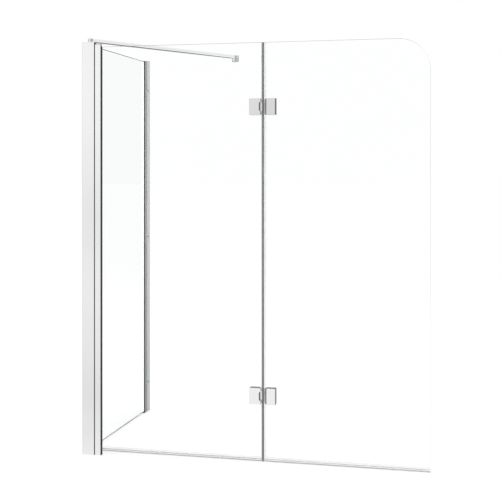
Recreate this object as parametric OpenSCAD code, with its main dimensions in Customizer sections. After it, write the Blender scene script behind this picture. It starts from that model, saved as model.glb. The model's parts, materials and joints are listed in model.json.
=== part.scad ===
// Folding bath screen with a return panel. Seen from outside the bath, +X runs right along the
// front, +Y runs back to the wall and +Z is up. The origin is on the bath rim, where the centre
// planes of the front glass and the side glass cross.

/* [Overall] */
// From the side glass plane to the free edge of the folding leaf
front_w = 1155; // [1000:5:1400]
// From the front glass plane to the wall
side_d = 700; // [500:5:1000]
// Height of the corner post with its cap
post_h = 1400; // [1200:10:1600]
// From the side glass plane to the hinge axis
hinge_x = 616; // [560:2:760]

/* [Glass] */
// Thickness of every pane
glass_t = 6; // [5:0.5:7]
// Front glass top below the post's top
front_glass_drop = 17; // [10:1:40]
// Side glass top below the post's top
side_glass_drop = 4.5; // [4.5:0.5:30]
// Front glass bottom above the rim
front_glass_lift = 21.5; // [19:0.5:40]
// Side glass bottom above the rim
side_glass_lift = 4; // [3:0.5:12]
// Radius of the folding leaf's upper free corner
corner_r = 100; // [10:5:200]
// Gap between the edges of the two front leaves
leaf_gap = 8; // [7:0.5:9]

/* [Profiles] */
// Thickness of the post's legs and of the wall profile
profile_t = 18; // [17:0.5:22]
// Length of each post leg, from the other glass plane
post_leg = 34.5; // [32:0.5:50]
// Depth of the wall profile
wall_profile_d = 35; // [30:1:50]
// Wall of the post and the wall profile
wall_t = 1.7; // [1.4:0.1:2]
// Wall of the adjusting profiles
adjust_wall_t = 1.5; // [1.2:0.1:2]
// Play between an adjusting profile and its channel, each side
slide_gap = 0.3; // [0.3:0.05:0.5]
// Front adjusting profile standing out of the post
front_adjust_show = 22.5; // [18:0.5:40]
// Side adjusting profile standing out of the wall profile
side_adjust_show = 24; // [18:1:45]
// Length of an adjusting profile inside its channel
adjust_tail = 21; // [20:0.5:22]
// Adjusting travel each way
adjust_travel = 8; // [4:1:8]
// Depth of the pocket that holds a glass edge
pocket_d = 15; // [12:1:16]
// Glass edge short of the pocket's floor
pocket_play = 2; // [1:0.5:3]
// Front adjusting profile's top below the post's top
front_profile_drop = 9; // [8:0.5:20]
// Thickness of the post cap
post_cap_t = 3; // [2:0.5:5]
// Thickness of the profile caps
profile_cap_t = 1.5; // [1:0.25:3]
// Depth of the plugs below the profile caps
cap_plug_d = 6; // [3:0.5:7]
// Radius of the post's outer corner
post_corner_r = 2; // [0.5:0.25:3]
// Wall profile's foot above the rim, for the sealant
foot_gap = 2; // [0:0.5:4]

/* [Gaskets and seals] */
// Gasket lip beyond the front profile's end and the post's pocket
gasket_lip = 4; // [2:0.5:8]
// Gasket lip beyond the side profile's end
side_gasket_lip = 1.5; // [1.5:0.5:8]
// Gasket flange over the end of the profile's wall
gasket_flange = 1; // [0.5:0.1:1.5]
// Width of the seal strips in the post's mouth
mouth_seal_w = 3; // [2:0.2:5]
// Wall of the clear seals
seal_t = 1.2; // [0.8:0.1:1.6]
// Height of the legs that grip the glass
seal_grip = 8; // [5:0.5:12]
// Height of the drip fins under the clip
drip_fin_h = 6; // [2:0.5:8]
// Thickness of a drip fin
drip_fin_t = 0.9; // [0.6:0.1:1.2]
// Gap between the fold seal's bulb and the fixed glass
bulb_gap = 0.5; // [0.4:0.1:1]
// Wall of the fold seal's bulb
bulb_wall = 0.8; // [0.5:0.1:1]

/* [Hinges] */
// Height of a hinge
hinge_h = 54; // [50:1:80]
// Upper hinge centre below the glass top
hinge_from_top = 210; // [120:5:350]
// Lower hinge centre above the glass bottom
hinge_from_bottom = 206; // [120:2:350]
// From the hinge axis to the far edge of each plate
plate_reach = 43.2; // [40:0.2:60]
// Fixed outer plate's near edge from the hinge axis
fixed_plate_near = 5; // [4.5:0.5:8]
// Folding outer plate's near edge from the hinge axis
fold_plate_near = 14; // [12:0.2:16]
// Fixed leaf's pads' near edges from the hinge axis
fixed_pad_near = 8; // [7:0.2:9]
// Folding leaf's pads' near edges from the hinge axis
fold_pad_near = 8.4; // [8:0.2:12]
// Inner plates' near edges from the hinge axis
inner_plate_near = 10.2; // [10:0.2:12]
// Notch in the fixed outer plate, along the plate
notch_w = 5.5; // [4:0.5:12]
// Notch in the fixed outer plate, along the pin
notch_h = 28; // [20:1:34]
// Thickness of an outer plate
outer_plate_t = 8; // [6:0.5:10]
// Thickness of an inner plate
inner_plate_t = 12; // [8:0.5:14]
// Thickness of a clamping pad
pad_t = 1; // [0.8:0.1:1.5]
// Inner plates' gap when the leaf is folded flat
folded_gap = 2; // [1:0.5:4]
// Radius of the knuckles
knuckle_r = 9; // [7:0.25:9]
// Height of the moving knuckle
moving_knuckle_h = 26; // [20:1:30]
// Radius of the hinge pin
pin_r = 3; // [2:0.25:4]
// Wall of the nylon bush round the pin
bush_t = 1.5; // [1:0.25:2]
// Thickness of the bush's flange
bush_flange_t = 0.8; // [0.5:0.1:1.5]
// Height between the two clamping screws of a plate
clamp_pitch = 30; // [24:1:36]
// Bevel along the plates' edges
plate_bevel = 1; // [0.5:0.1:1.5]

/* [Stabiliser bar] */
// Bar's wall end, from the side glass plane
bar_wall_x = 362; // [200:2:500]
// Bar's axis above the post's top
bar_lift = 7.5; // [7.5:0.5:12]
// Radius of the bar
bar_r = 7; // [5:0.5:7]
// Wall of the bar's tube
bar_wall = 1; // [0.8:0.1:1.5]
// Radius of the swivel barrels
barrel_r = 8.5; // [8:0.25:10]
// Height of the swivel barrels
barrel_h = 14.7; // [14.7:0.1:17]
// Chamfer round the barrels' tops
barrel_chamfer = 2; // [0.5:0.25:2.5]
// Post pivot from the two glass planes
post_pivot = 13.6; // [12.5:0.1:16]
// Wall pivot from the wall
wall_pivot_d = 17; // [16:0.5:30]
// Width and height of the wall bracket's plate
bracket_w = 26; // [22:1:40]
// Thickness of the wall bracket's plate
bracket_t = 4; // [3:0.5:6]
// Radius of the wall bracket's boss
boss_r = 10; // [9:0.5:12]
// Height of the wall bracket's boss
boss_h = 10; // [6:0.5:10]
// Length of a barrel's spigot inside the tube
spigot_l = 15; // [8:1:30]
// Square lug under the post cap
lug_w = 13; // [9:0.5:15]
// Depth of the lug under the post cap
lug_h = 12; // [8:1:20]

/* [Fasteners] */
// Screw holes in the wall profile
wall_holes = 3; // [2:1:5]
// Wall screw holes apart
wall_hole_pitch = 600; // [200:10:600]
// Radius of the wall screw holes
wall_hole_r = 2.6; // [2:0.1:3.5]
// Wall bracket's screw holes apart
bracket_hole_pitch = 16; // [12:0.5:18]
// Radius of the wall bracket's screw holes
bracket_hole_r = 2.1; // [1.5:0.1:2.5]
// Radius of the adjusting screws
adjust_screw_r = 2; // [1.5:0.25:2.5]
// Adjusting screws from the channel's mouth
adjust_screw_in = 12; // [11:0.5:13]
// Adjusting screws per profile
adjust_screws = 3; // [2:1:5]
// Lowest adjusting screw above the rim
adjust_screw_low = 120; // [60:10:300]
// Highest adjusting screw below the post's top
adjust_screw_high = 120; // [60:10:300]
// Radius of the clamping screws
clamp_screw_r = 3; // [2.5:0.25:3]
// Wall of the nylon sleeves in the glass
sleeve_t = 3; // [1.5:0.25:3.5]
// Radius of the bar's pivots
pivot_r = 2.5; // [2:0.25:2.5]
// Radius of the bar's grub screws
grub_r = 2; // [1.5:0.25:2.5]
// Radius of the cap screws
cap_screw_r = 1.9; // [1.5:0.1:2]

/* [Hidden] */
$fn = 64;

// Clearances
fit = 0.02;        // a screw or pin in its own seat
running = 0.05;    // a pin that turns
loose = 0.3;       // pieces that pass each other
cut = 1;           // how far a cutter runs past a face

// Sections of the profiles
half = profile_t / 2;
channel = half - wall_t;
adjust = channel - slide_gap;
pocket = adjust - adjust_wall_t;
gasket_t = pocket - glass_t / 2;

// Stations along the front (X) and the side (Y)
front_adjust_end = post_leg + front_adjust_show;
front_glass_x = front_adjust_end - pocket_d + pocket_play;
fixed_edge_x = hinge_x - leaf_gap / 2;
fold_edge_x = hinge_x + leaf_gap / 2;
wall_mouth_y = side_d - wall_profile_d;
side_adjust_end = wall_mouth_y - side_adjust_show;
side_glass_y0 = post_leg - pocket_d + pocket_play;
side_glass_y1 = side_adjust_end + pocket_d - pocket_play;

// Heights
front_glass_z = post_h - front_glass_drop;
side_glass_z = post_h - side_glass_drop;
front_profile_z = post_h - front_profile_drop;
cap_play = 0.5;
side_profile_z = side_glass_z + cap_play;
wall_profile_z = side_profile_z + profile_cap_t + 2 * cap_play;
post_extrusion_z = post_h - post_cap_t;
upper_z = front_glass_z - hinge_from_top;
lower_z = front_glass_lift + hinge_from_bottom;

// Hinge
outer_y = -glass_t / 2 - pad_t - outer_plate_t;
inner_y = glass_t / 2 + pad_t;
inner_face_y = inner_y + inner_plate_t;
axis_y = inner_face_y + folded_gap / 2;
bush_r = pin_r + running + bush_t;
knuckle_split = moving_knuckle_h / 2 + bush_flange_t + loose;
fixed_clamp_x = -(plate_reach + fixed_plate_near + notch_w) / 2;
fold_clamp_x = (plate_reach + fold_plate_near) / 2;
sleeve_bore_r = clamp_screw_r + loose / 2;
sleeve_r = sleeve_bore_r + sleeve_t;
glass_hole_r = sleeve_r + loose / 2;
clamp_head_h = 3;
clamp_seat = 2;    // outer plate left in front of a clamping screw
pad_inset = 0.3;

// Stabiliser bar
bar_z = post_h + bar_lift;
barrel_z = post_h + loose;
wall_pivot_y = side_d - wall_pivot_d;
bar_dx = bar_wall_x - post_pivot;
bar_dy = wall_pivot_y - post_pivot;
bar_length = sqrt(bar_dx * bar_dx + bar_dy * bar_dy);
bar_angle = atan2(bar_dy, bar_dx);
neck = barrel_r + 3.5;
pivot_top = barrel_h - 2.5;
pivot_head_r = 4.5;
pivot_head_h = 2.5;

// Screws
screw_head_r = 2 * adjust_screw_r;
screw_head_h = 2.2;
screw_tip = 4;     // an adjusting screw's reach past the profile's wall
cap_head_r = 3.6;
cap_head_h = 1.8;
cap_screw_l = 14;
port_wall = 1.3;

// Seals
seal_floor = 1.5;
bulb_r = (leaf_gap - bulb_gap - seal_floor + bulb_wall) / 2;
bulb_x = fixed_edge_x + bulb_gap + bulb_r;
hinge_cut = hinge_h / 2 + 3;
drip_z = front_glass_lift - seal_floor;
grip_z = drip_z + seal_floor + seal_grip;

function screw_levels() = [
    for (i = [0 : adjust_screws - 1])
        adjust_screw_low + i * (post_h - adjust_screw_low - adjust_screw_high) / (adjust_screws - 1)
];
function wall_levels() = [
    for (i = [0 : wall_holes - 1]) post_h / 2 + (i - (wall_holes - 1) / 2) * wall_hole_pitch
];

// Shared shapes

// A block between two corners
module block(low, high) {
    translate(low) cube(high - low);
}

// A block whose twelve edges are bevelled
module bevelled_block(low, high, bevel) {
    intersection() {
        translate([0, 0, low.z]) linear_extrude(high.z - low.z)
            bevelled_square([low.x, low.y], [high.x, high.y], bevel);
        translate([0, high.y, 0]) rotate([90, 0, 0]) linear_extrude(high.y - low.y)
            bevelled_square([low.x, low.z], [high.x, high.z], bevel);
        translate([low.x, 0, 0]) rotate([90, 0, 90]) linear_extrude(high.x - low.x)
            bevelled_square([low.y, low.z], [high.y, high.z], bevel);
    }
}

module bevelled_square(low, high, bevel) {
    polygon([
        [low.x + bevel, low.y], [high.x - bevel, low.y],
        [high.x, low.y + bevel], [high.x, high.y - bevel],
        [high.x - bevel, high.y], [low.x + bevel, high.y],
        [low.x, high.y - bevel], [low.x, low.y + bevel]
    ]);
}

// A slot through a wall: the path of a round cutter moved along X by travel each way
module slot(radius, travel, depth) {
    for (side = [-1, 1]) translate([side * travel, 0, 0]) cylinder(h = depth, r = radius);
    translate([-travel, -radius, 0]) cube([2 * travel, 2 * radius, depth]);
}

// Pan head screw with its head's seat at z = 0, pointing down
module pan_screw(radius, length) {
    difference() {
        union() {
            translate([0, 0, -length]) cylinder(h = length, r = radius);
            cylinder(h = screw_head_h, r = screw_head_r);
        }
        translate([0, 0, screw_head_h / 2]) cylinder(h = screw_head_h, r = radius * 0.6, $fn = 6);
    }
}

// Countersunk screw with its head's top at z = 0, pointing down
module countersunk_screw(radius, head_r, head_h, length) {
    difference() {
        union() {
            translate([0, 0, -length]) cylinder(h = length, r = radius);
            translate([0, 0, -head_h]) cylinder(h = head_h, r1 = radius, r2 = head_r);
        }
        translate([0, 0, -head_h * 0.8]) cylinder(h = head_h, r = radius * 0.6, $fn = 6);
    }
}

// The hole that such a screw sits in
module countersunk_hole(radius, head_r, head_h, length) {
    translate([0, 0, -length]) cylinder(h = length + cut, r = radius);
    translate([0, 0, -head_h]) cylinder(h = head_h, r1 = radius, r2 = head_r);
}

// Section of an adjusting profile that slides along X: its tail at x0, its glass pocket at x1
module adjust_section(x0, x1) {
    difference() {
        translate([x0, -adjust]) square([x1 - x0, 2 * adjust]);
        translate([x0 - cut, -pocket]) square([x1 - pocket_d - adjust_wall_t - x0 + cut, 2 * pocket]);
        translate([x1 - pocket_d, -pocket]) square([pocket_d + cut, 2 * pocket]);
    }
}

// Two glazing gaskets along X beside a glass edge, each with a flange over the
// profile's end and a lip that tapers onto the glass
module gasket_section(x0, x1, lip) {
    for (side = [-1, 1]) scale([1, side])
        polygon([
            [x0, glass_t / 2], [x1 + lip, glass_t / 2], [x1 + lip, glass_t / 2 + 0.6],
            [x1 + gasket_flange, adjust], [x1, adjust], [x1, pocket], [x0, pocket]
        ]);
}

// Plug plate on top of an adjusting profile
module adjust_cap(x0, x1, glass_gap) {
    block([x0, -adjust, 0], [x1, adjust, profile_cap_t]);
    block([x1 - pocket_d + loose, -pocket + loose, -glass_gap],
          [x1 - loose, pocket - loose, 0]);
    block([x0 + loose, -pocket + loose, -cap_plug_d],
          [x1 - pocket_d - adjust_wall_t - loose, pocket - loose, 0]);
}

// Turns a shape drawn along the front (X) to run along the side (Y), its pocket towards the post
module along_side() {
    multmatrix([[0, 1, 0, 0], [-1, 0, 0, 0], [0, 0, 1, 0]]) children();
}

// Wall profile and side panel

module wall_profile() {
    color("gainsboro") difference() {
        translate([0, 0, foot_gap]) linear_extrude(wall_profile_z - foot_gap) difference() {
            translate([-half, wall_mouth_y]) square([profile_t, wall_profile_d]);
            translate([-channel, wall_mouth_y - cut]) square([2 * channel, wall_profile_d - wall_t + cut]);
        }
        for (z = wall_levels()) translate([0, side_d + cut, z]) rotate([90, 0, 0])
            cylinder(h = wall_t + 2 * cut, r = wall_hole_r);
        for (z = screw_levels()) translate([channel - cut, wall_mouth_y + adjust_screw_in, z])
            rotate([90, 0, 90]) slot(adjust_screw_r + loose, adjust_travel, wall_t + 2 * cut);
    }
}

module wall_profile_cap() {
    color("silver") translate([0, 0, wall_profile_z])
        block([-half, wall_mouth_y, 0], [half, side_d, profile_cap_t]);
}

module side_adjust_profile() {
    color("lightgray") difference() {
        translate([0, 0, foot_gap]) linear_extrude(side_profile_z - foot_gap) along_side()
            adjust_section(-wall_mouth_y - adjust_tail, -side_adjust_end);
        for (z = screw_levels()) translate([pocket - cut, wall_mouth_y + adjust_screw_in, z])
            rotate([0, 90, 0]) cylinder(h = adjust_wall_t + 2 * cut, r = adjust_screw_r + fit);
    }
}

module side_adjust_cap() {
    color("silver") translate([0, 0, side_profile_z]) along_side()
        adjust_cap(-wall_mouth_y - adjust_tail, -side_adjust_end, cap_play / 2);
}

module side_wall_gaskets() {
    color("dimgray") translate([0, 0, foot_gap])
        linear_extrude(side_glass_z - foot_gap) along_side()
            gasket_section(-side_adjust_end - pocket_d + cap_play, -side_adjust_end, side_gasket_lip);
}

module side_adjust_screws() {
    color("silver") for (z = screw_levels())
        translate([half + loose, wall_mouth_y + adjust_screw_in, z]) rotate([0, 90, 0])
            pan_screw(adjust_screw_r, half + loose - pocket + screw_tip);
}

module side_glass() {
    color("azure", 0.4) block([-glass_t / 2, side_glass_y0, side_glass_lift],
                              [glass_t / 2, side_glass_y1, side_glass_z]);
}

module side_post_gaskets() {
    color("dimgray") linear_extrude(side_glass_z) along_side() mirror([1, 0])
        gasket_section(post_leg - pocket_d + cap_play, post_leg, gasket_lip);
}

module side_glass_blocks() {
    block_l = pocket_d - pocket_play - cap_play;
    color("dimgray") for (y = [side_glass_y0, side_glass_y1 - block_l])
        block([-glass_t / 2, y, 0], [glass_t / 2, y + block_l, side_glass_lift]);
}

// Corner post

corner_port = [-(channel + wall_t / 2) / 2, 0];
side_chamber_y = post_leg - pocket_d - wall_t;
side_port = [0, (half + side_chamber_y) / 2];

module post_section() {
    difference() {
        union() {
            translate([-half, -half]) square([half + post_leg, profile_t]);
            translate([-half, -half]) square([profile_t, half + post_leg]);
        }
        translate([wall_t / 2, -channel]) square([post_leg, 2 * channel]);
        translate([-channel, -channel]) square([channel - wall_t / 2, 2 * channel]);
        translate([-channel, half]) square([2 * channel, side_chamber_y - half]);
        translate([-pocket, post_leg - pocket_d]) square([2 * pocket, pocket_d + cut]);
        difference() {
            translate([-half - cut, -half - cut]) square(post_corner_r + cut);
            translate([-half + post_corner_r, -half + post_corner_r]) circle(r = post_corner_r);
        }
    }
    difference() {
        screw_ports(port_wall);
        screw_ports(0);
    }
}

// The two round ports that the cap screws bite into, with the webs that carry them
module screw_ports(wall) {
    translate(corner_port) circle(r = cap_screw_r + fit + wall);
    translate(side_port) circle(r = cap_screw_r + fit + wall);
    if (wall > 0) {
        translate([-channel, -wall / 2]) square([channel - wall_t / 2, wall]);
        translate([-wall / 2, half]) square([wall, side_chamber_y - half]);
    }
}

module corner_post() {
    color("whitesmoke") difference() {
        linear_extrude(post_extrusion_z) post_section();
        for (z = screw_levels()) translate([post_leg - adjust_screw_in, half + cut, z])
            rotate([90, 0, 0]) slot(adjust_screw_r + loose, adjust_travel, wall_t + 2 * cut);
    }
}

module post_cap() {
    color("silver") difference() {
        union() {
            translate([0, 0, post_extrusion_z]) linear_extrude(post_cap_t) difference() {
                union() {
                    translate([-half, -half]) square([half + post_leg, profile_t]);
                    translate([-half, -half]) square([profile_t, half + post_leg]);
                    translate([half, half]) square(lug_w);
                }
                difference() {
                    translate([-half - cut, -half - cut]) square(post_corner_r + cut);
                    translate([-half + post_corner_r, -half + post_corner_r]) circle(r = post_corner_r);
                }
            }
            block([half + loose, half + loose, post_extrusion_z - lug_h],
                  [half + lug_w, half + lug_w, post_extrusion_z]);
        }
        translate([post_pivot, post_pivot, post_extrusion_z - lug_h - cut])
            cylinder(h = lug_h + post_cap_t + 2 * cut, r = pivot_r + fit);
        for (port = [corner_port, side_port]) translate([port.x, port.y, post_h])
            countersunk_hole(cap_screw_r + fit, cap_head_r + fit, cap_head_h, post_cap_t + cut);
    }
}

module post_cap_screws() {
    color("silver") for (port = [corner_port, side_port]) translate([port.x, port.y, post_h])
        countersunk_screw(cap_screw_r, cap_head_r, cap_head_h, cap_screw_l);
}

module post_mouth_seals() {
    color("dimgray") linear_extrude(post_extrusion_z) for (side = [-1, 1]) scale([1, side])
        translate([post_leg, channel]) square([mouth_seal_w, wall_t - slide_gap]);
}

// Front adjusting profile and fixed leaf

module front_adjust_profile() {
    color("lightgray") difference() {
        linear_extrude(front_profile_z) adjust_section(post_leg - adjust_tail, front_adjust_end);
        for (z = screw_levels()) translate([post_leg - adjust_screw_in, adjust + cut, z])
            rotate([90, 0, 0]) cylinder(h = adjust_wall_t + 2 * cut, r = adjust_screw_r + fit);
    }
}

module front_adjust_cap() {
    color("silver") translate([0, 0, front_profile_z])
        adjust_cap(post_leg - adjust_tail, front_adjust_end, cap_plug_d);
}

module front_gaskets() {
    color("dimgray") linear_extrude(front_glass_z)
        gasket_section(front_adjust_end - pocket_d + cap_play, front_adjust_end, gasket_lip);
}

module front_glass_block() {
    color("dimgray") block([front_glass_x, -glass_t / 2, 0],
                           [front_adjust_end - cap_play, glass_t / 2, front_glass_lift]);
}

module front_adjust_screws() {
    color("silver") for (z = screw_levels())
        translate([post_leg - adjust_screw_in, half + loose, z]) rotate([-90, 0, 0])
            pan_screw(adjust_screw_r, half + loose - pocket + screw_tip);
}

// A front pane with its hinge holes: outline in X and Z, centred on the glass plane
module front_pane(x0, x1, hole_x, top_r) {
    difference() {
        translate([0, glass_t / 2, 0]) rotate([90, 0, 0]) linear_extrude(glass_t) difference() {
            translate([x0, front_glass_lift]) square([x1 - x0, front_glass_z - front_glass_lift]);
            difference() {
                translate([x1 - top_r, front_glass_z - top_r]) square(top_r + cut);
                translate([x1 - top_r, front_glass_z - top_r]) circle(r = top_r, $fn = 96);
            }
        }
        clamp_points(hole_x) translate([0, glass_t / 2 + cut, 0]) rotate([90, 0, 0])
            cylinder(h = glass_t + 2 * cut, r = glass_hole_r);
    }
}

// Places its children at the two clamping screws of each hinge
module clamp_points(x) {
    for (z = [lower_z, upper_z], side = [-1, 1])
        translate([hinge_x + x, 0, z + side * clamp_pitch / 2]) children();
}

module fixed_glass() {
    color("azure", 0.4) front_pane(front_glass_x, fixed_edge_x, fixed_clamp_x, 1);
}

// Drip seal along a pane's bottom edge: a clip with two fins that lean outwards
module drip_seal(x0, x1) {
    face = glass_t / 2;
    half_section = [
        [face - drip_fin_t, drip_z], [face, drip_z - drip_fin_h],
        [face + drip_fin_t, drip_z - drip_fin_h], [face, drip_z],
        [face + seal_t, drip_z], [face + seal_t, grip_z], [face, grip_z], [face, drip_z + seal_floor]
    ];
    other_half = [for (i = [len(half_section) - 1 : -1 : 0]) [-half_section[i].x, half_section[i].y]];
    translate([x0, 0, 0]) rotate([90, 0, 90]) linear_extrude(x1 - x0)
        polygon(concat(half_section, other_half));
}

module fixed_drip_seal() {
    color("azure", 0.7) drip_seal(front_adjust_end + gasket_lip + loose, fixed_edge_x - loose);
}

// Hinges, drawn round the hinge axis at the middle of their height

module outer_plate(near, notched) {
    low_x = near < 0 ? -plate_reach : near;
    high_x = near < 0 ? near : plate_reach;
    clamp_x = near < 0 ? fixed_clamp_x : fold_clamp_x;
    difference() {
        bevelled_block([low_x, outer_y, -hinge_h / 2],
                       [high_x, outer_y + outer_plate_t, hinge_h / 2], plate_bevel);
        if (notched)
            translate([near, outer_y + outer_plate_t + cut, 0]) rotate([90, 0, 0])
                linear_extrude(outer_plate_t + 2 * cut) notch_outline();
        for (side = [-1, 1])
            translate([clamp_x, outer_y + clamp_seat, side * clamp_pitch / 2]) rotate([-90, 0, 0])
                cylinder(h = outer_plate_t, r = clamp_screw_r + fit);
    }
}

// Notch with sloping ends
module notch_outline() {
    slope = notch_w / 3;
    polygon([
        [cut, -notch_h / 2 - slope - cut], [cut, notch_h / 2 + slope + cut],
        [-notch_w + slope, notch_h / 2], [-notch_w, notch_h / 2 - slope],
        [-notch_w, -notch_h / 2 + slope], [-notch_w + slope, -notch_h / 2]
    ]);
}

// Inner plate on one leaf (side is -1 for the fixed leaf, 1 for the folding leaf); each knuckle
// is given by its lowest and highest level
module inner_plate(side, knuckles, bore_r) {
    clamp_x = side < 0 ? fixed_clamp_x : fold_clamp_x;
    low_x = side < 0 ? -plate_reach : inner_plate_near;
    high_x = side < 0 ? -inner_plate_near : plate_reach;
    difference() {
        union() {
            bevelled_block([low_x, inner_y, -hinge_h / 2], [high_x, inner_face_y, hinge_h / 2], plate_bevel);
            for (k = knuckles) {
                translate([0, axis_y, k[0]]) cylinder(h = k[1] - k[0], r = knuckle_r);
                block([min(0, side * (inner_plate_near + plate_bevel)), axis_y - knuckle_r, k[0]],
                      [max(0, side * (inner_plate_near + plate_bevel)), inner_face_y - plate_bevel, k[1]]);
            }
        }
        translate([0, axis_y, -hinge_h / 2 - cut]) cylinder(h = hinge_h + 2 * cut, r = bore_r);
        for (end = [-1, 1])
            translate([clamp_x, inner_face_y, end * clamp_pitch / 2]) rotate([-90, 0, 0])
                countersunk_hole(clamp_screw_r + loose / 2, 2 * clamp_screw_r + loose / 2,
                                 clamp_head_h, inner_plate_t + cut);
    }
}

module fixed_inner_plate() {
    inner_plate(-1, [[-hinge_h / 2 + plate_bevel, -knuckle_split],
                     [knuckle_split, hinge_h / 2 - plate_bevel]], pin_r + fit);
}

module folding_inner_plate() {
    inner_plate(1, [[-moving_knuckle_h / 2, moving_knuckle_h / 2]], bush_r + fit);
}

module at_hinge(z) {
    translate([hinge_x, 0, z]) children();
}

module hinge_pads(x0, x1) {
    for (z = [lower_z, upper_z], y = [-glass_t / 2 - pad_t, glass_t / 2]) difference() {
        block([hinge_x + x0, y, z - hinge_h / 2 + pad_inset],
              [hinge_x + x1, y + pad_t, z + hinge_h / 2 - pad_inset]);
        clamp_points(x0 < 0 ? fixed_clamp_x : fold_clamp_x)
            translate([0, y + pad_t + cut, 0]) rotate([90, 0, 0])
                cylinder(h = pad_t + 2 * cut, r = glass_hole_r);
    }
}

module hinge_sleeves(x) {
    clamp_points(x) translate([0, glass_t / 2, 0]) rotate([90, 0, 0]) difference() {
        cylinder(h = glass_t, r = sleeve_r);
        translate([0, 0, -cut]) cylinder(h = glass_t + 2 * cut, r = sleeve_bore_r);
    }
}

module hinge_screws(x) {
    clamp_points(x) translate([0, inner_face_y, 0]) rotate([-90, 0, 0])
        countersunk_screw(clamp_screw_r, 2 * clamp_screw_r, clamp_head_h,
                          inner_face_y - outer_y - clamp_seat);
}

module hinge_pin() {
    translate([0, axis_y, -hinge_h / 2 + plate_bevel]) cylinder(h = hinge_h - 2 * plate_bevel, r = pin_r);
}

module hinge_bushes() {
    flange_r = knuckle_r - plate_bevel;
    color("white") for (z = [lower_z, upper_z], end = [0, 1])
        at_hinge(z) translate([0, axis_y, 0]) mirror([0, 0, end]) difference() {
            union() {
                translate([0, 0, fit]) cylinder(h = moving_knuckle_h / 2 - fit, r = bush_r);
                translate([0, 0, moving_knuckle_h / 2]) cylinder(h = bush_flange_t, r = flange_r);
            }
            cylinder(h = moving_knuckle_h, r = pin_r + running);
        }
}

// Folding leaf

module folding_glass() {
    color("azure", 0.4) front_pane(fold_edge_x, front_w, fold_clamp_x, corner_r);
}

module folding_drip_seal() {
    color("azure", 0.7) drip_seal(fold_edge_x + loose, front_w);
}

// Seal clipped on the folding leaf's edge: the bulb runs past the hinges, the clip is cut out there
module fold_seal() {
    outer = glass_t / 2 + seal_t;
    low = drip_z - drip_fin_h;
    web_x = fold_edge_x - seal_floor;
    color("gray") {
        translate([0, 0, low]) linear_extrude(front_glass_z - low) {
            difference() {
                translate([bulb_x, 0]) circle(r = bulb_r);
                translate([bulb_x, 0]) circle(r = bulb_r - bulb_wall);
            }
            translate([web_x, -glass_t / 2]) square([seal_floor, glass_t]);
        }
        for (span = [[grip_z + loose, lower_z - hinge_cut], [lower_z + hinge_cut, upper_z - hinge_cut],
                     [upper_z + hinge_cut, front_glass_z]])
            translate([0, 0, span[0]]) linear_extrude(span[1] - span[0]) difference() {
                translate([web_x, -outer]) square([seal_floor + seal_grip, 2 * outer]);
                translate([fold_edge_x, -glass_t / 2]) square([seal_grip + cut, glass_t]);
            }
    }
}

// Stabiliser bar

// Swivel barrel at the origin, its spigot along +X
module barrel() {
    difference() {
        union() {
            cylinder(h = barrel_h - barrel_chamfer, r = barrel_r);
            translate([0, 0, barrel_h - barrel_chamfer])
                cylinder(h = barrel_chamfer, r1 = barrel_r, r2 = barrel_r - barrel_chamfer);
            translate([0, 0, bar_z - barrel_z]) rotate([0, 90, 0]) cylinder(h = neck, r = bar_r);
            translate([0, 0, bar_z - barrel_z]) rotate([0, 90, 0])
                cylinder(h = neck + spigot_l, r = bar_r - bar_wall - running);
        }
        translate([0, 0, -cut]) cylinder(h = pivot_top + cut, r = pivot_r + running);
        translate([-barrel_r - cut, 0, bar_z - barrel_z]) rotate([0, 90, 0])
            cylinder(h = barrel_r + cut, r = grub_r + fit);
    }
}

module at_post_pivot() {
    translate([post_pivot, post_pivot, barrel_z]) rotate([0, 0, bar_angle]) children();
}

module at_wall_pivot() {
    translate([bar_wall_x, wall_pivot_y, barrel_z]) rotate([0, 0, bar_angle + 180]) children();
}

module bar_tube() {
    color("lightgray") at_post_pivot() translate([neck, 0, bar_z - barrel_z]) rotate([0, 90, 0])
        difference() {
            cylinder(h = bar_length - 2 * neck, r = bar_r);
            translate([0, 0, -cut]) cylinder(h = bar_length, r = bar_r - bar_wall);
        }
}

module grub_screw() {
    translate([-barrel_r + loose, 0, bar_z - barrel_z]) rotate([0, 90, 0]) difference() {
        cylinder(h = barrel_r - pivot_r - 2 * loose, r = grub_r);
        translate([0, 0, -cut]) cylinder(h = 2 + cut, r = grub_r * 0.55, $fn = 6);
    }
}

module bar_post_pivot() {
    low = post_extrusion_z - lug_h;
    color("silver") translate([post_pivot, post_pivot, low])
        cylinder(h = barrel_z + pivot_top - 2 * loose - low, r = pivot_r);
}

module bar_wall_pivot() {
    low = post_h - boss_h;
    color("silver") translate([bar_wall_x, wall_pivot_y, low]) {
        cylinder(h = barrel_z + pivot_top - 2 * loose - low, r = pivot_r);
        translate([0, 0, -pivot_head_h]) difference() {
            cylinder(h = pivot_head_h, r = pivot_head_r);
            translate([0, 0, -cut]) cylinder(h = 1.2 + cut, r = pivot_r * 0.6, $fn = 6);
        }
    }
}

module wall_bracket() {
    low = post_h - boss_h;
    color("silver") difference() {
        union() {
            bevelled_block([bar_wall_x - bracket_w / 2, side_d - bracket_t, low],
                           [bar_wall_x + bracket_w / 2, side_d, low + bracket_w], 0.5);
            translate([bar_wall_x, wall_pivot_y, low]) cylinder(h = boss_h, r = boss_r);
            block([bar_wall_x - boss_r, wall_pivot_y, low],
                  [bar_wall_x + boss_r, side_d - bracket_t / 2, low + boss_h]);
        }
        translate([bar_wall_x, wall_pivot_y, low - cut])
            cylinder(h = boss_h + 2 * cut, r = pivot_r + fit);
        for (side = [-1, 1])
            translate([bar_wall_x + side * bracket_hole_pitch / 2, side_d + cut, bar_z])
                rotate([90, 0, 0]) cylinder(h = bracket_t + 2 * cut, r = bracket_hole_r);
    }
}

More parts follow.
